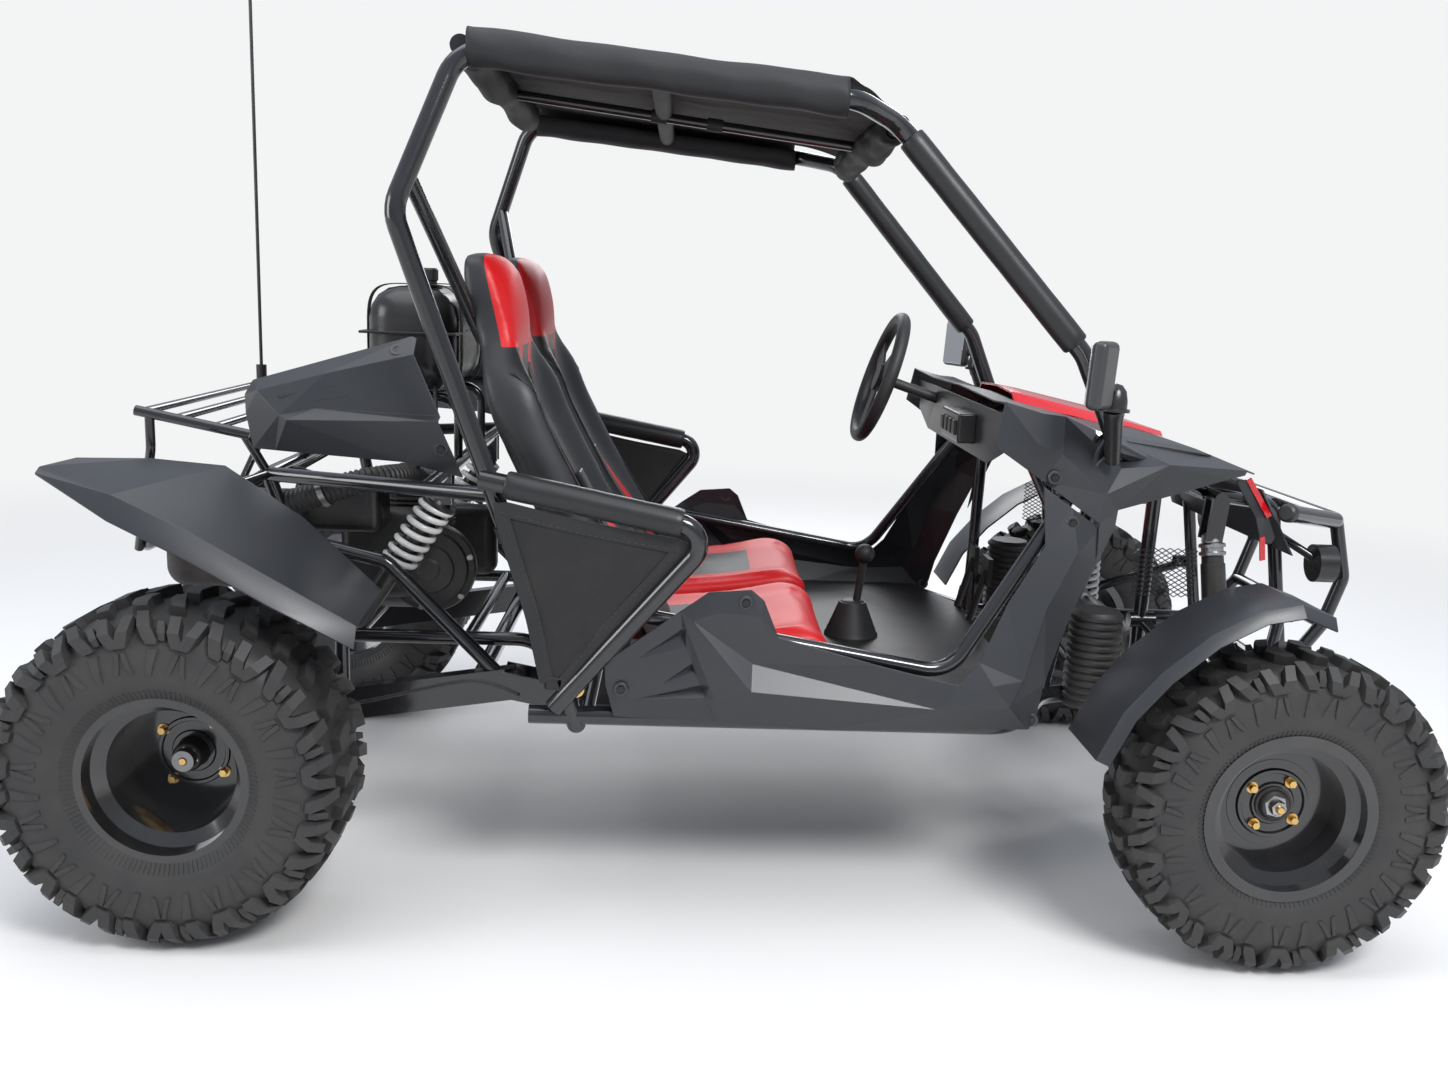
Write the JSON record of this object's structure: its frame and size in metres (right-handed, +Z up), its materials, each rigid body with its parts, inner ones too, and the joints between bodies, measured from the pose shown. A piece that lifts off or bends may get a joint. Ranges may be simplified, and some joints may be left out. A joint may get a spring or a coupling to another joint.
{
  "type": "dune buggy",
  "caption": "Two-seat off-road dune buggy with an open tube frame, canvas roof, knobbly tyres, coil springs and steered front wheels with fenders.",
  "frame": {"origin": "ground level under the middle of the bounding box", "axes": "+X forward, +Y to the driver's left, +Z up"},
  "size_m": [2.3502, 1.406, 2.0188],
  "materials": {
    "frame_paint": "gloss black powder coat",
    "foam_vinyl": "smooth black vinyl over foam",
    "net_fabric": "black mesh cloth",
    "canvas": "black canvas",
    "pan_steel": "black painted sheet",
    "body_plastic": "satin black moulded plastic",
    "red_plastic": "gloss red moulded plastic",
    "seat_vinyl": "black and red grained vinyl",
    "tank_plastic": "black moulded plastic",
    "engine_metal": "cast aluminium",
    "exhaust_steel": "black heat paint",
    "spring_white": "white spring on a black damper",
    "rod_steel": "zinc plated steel",
    "grip_rubber": "black foam grip",
    "tyre_rubber": "black rubber with block tread",
    "rim_paint": "gloss black steel",
    "lamp_housing": "black housing with clear lens",
    "boot_rubber": "black ribbed boot",
    "knuckle_iron": "black painted casting",
    "hub_steel": "machined steel"
  },
  "bodies": {
    "chassis": {"air_box": "tank_plastic", "bar_pads": "foam_vinyl", "column_bracket": "frame_paint", "dash_panel": "body_plastic", "engine_block": "engine_metal", "floor_pan": "pan_steel", "front_bumper": "frame_paint", "front_cowl": "body_plastic", "front_frame": "frame_paint", "front_shocks": "spring_white", "fuel_tank": "tank_plastic", "hood_insert": "red_plastic", "lamps": "lamp_housing", "lower_frame": "frame_paint", "mirrors": "tank_plastic", "muffler": "exhaust_steel", "nose_panel": "body_plastic", "pedals": "pan_steel", "rear_covers": "body_plastic", "rear_fenders": "body_plastic", "rear_frame": "frame_paint", "rear_rack": "frame_paint", "rear_shocks": "spring_white", "roll_cage": "frame_paint", "roof_canopy": "canvas", "seats": "seat_vinyl", "shift_lever": "boot_rubber", "side_nets": "net_fabric", "side_panels": "body_plastic", "steering_box": "engine_metal", "suspension_arms": "frame_paint", "swing_arm": "frame_paint", "whip_mast": "tank_plastic"},
    "steering_wheel": {"steering_wheel": "grip_rubber"},
    "lower_column": {"lower_column": "rod_steel"},
    "rack": {"tie_rods": "rod_steel"},
    "rear_axle": {"rear_axle": "rod_steel", "rear_rims": "rim_paint", "rear_tyres": "tyre_rubber"},
    "knuckle_left": {"knuckle_left": "knuckle_iron", "front_fender_left": "body_plastic"},
    "front_wheel_left": {"front_tyre_left": "tyre_rubber", "front_rim_left": "rim_paint", "front_hub_left": "hub_steel"},
    "knuckle_right": {"knuckle_right": "knuckle_iron", "front_fender_right": "body_plastic"},
    "front_wheel_right": {"front_tyre_right": "tyre_rubber", "front_rim_right": "rim_paint", "front_hub_right": "hub_steel"}
  },
  "joints": [
    {"name": "steering", "type": "hinge", "parent": "chassis", "child": "steering_wheel", "pos_m": [0.316, 0.22, 0.883], "axis": [-0.9511, 0, 0.309], "range_deg": [-110, 110]},
    {"name": "lower_column_turn", "type": "hinge", "parent": "chassis", "child": "lower_column", "pos_m": [0.782, 0.12, 0.42], "axis": [-0.4036, 0.2412, 0.8826], "range_deg": [-111, 111]},
    {"name": "rack_slide", "type": "slide", "parent": "chassis", "child": "rack", "axis": [0, 1, 0], "range_m": [-0.042, 0.042]},
    {"name": "knuckle_left_turn", "type": "hinge", "parent": "chassis", "child": "knuckle_left", "pos_m": [0.877, 0.5, 0.267], "axis": [0, 0, 1], "range_deg": [-25.5, 25.5]},
    {"name": "front_wheel_left_spin", "type": "hinge", "parent": "knuckle_left", "child": "front_wheel_left", "pos_m": [0.877, 0.614, 0.267], "axis": [0, 1, 0], "continuous": true},
    {"name": "knuckle_right_turn", "type": "hinge", "parent": "chassis", "child": "knuckle_right", "pos_m": [0.877, -0.5, 0.267], "axis": [0, 0, 1], "range_deg": [-25.5, 25.5]},
    {"name": "front_wheel_right_spin", "type": "hinge", "parent": "knuckle_right", "child": "front_wheel_right", "pos_m": [0.877, -0.614, 0.267], "axis": [0, 1, 0], "continuous": true},
    {"name": "rear_axle_spin", "type": "hinge", "parent": "chassis", "child": "rear_axle", "pos_m": [-0.896, 0, 0.2795], "axis": [0, 1, 0], "continuous": true}
  ],
  "couplings": [
    {"joint": "lower_column_turn", "follows": "steering", "ratio": 1},
    {"joint": "rack_slide", "follows": "steering", "m_per_rad": -0.020912},
    {"joint": "knuckle_left_turn", "follows": "steering", "ratio": 0.22727},
    {"joint": "knuckle_right_turn", "follows": "steering", "ratio": 0.22727}
  ]
}
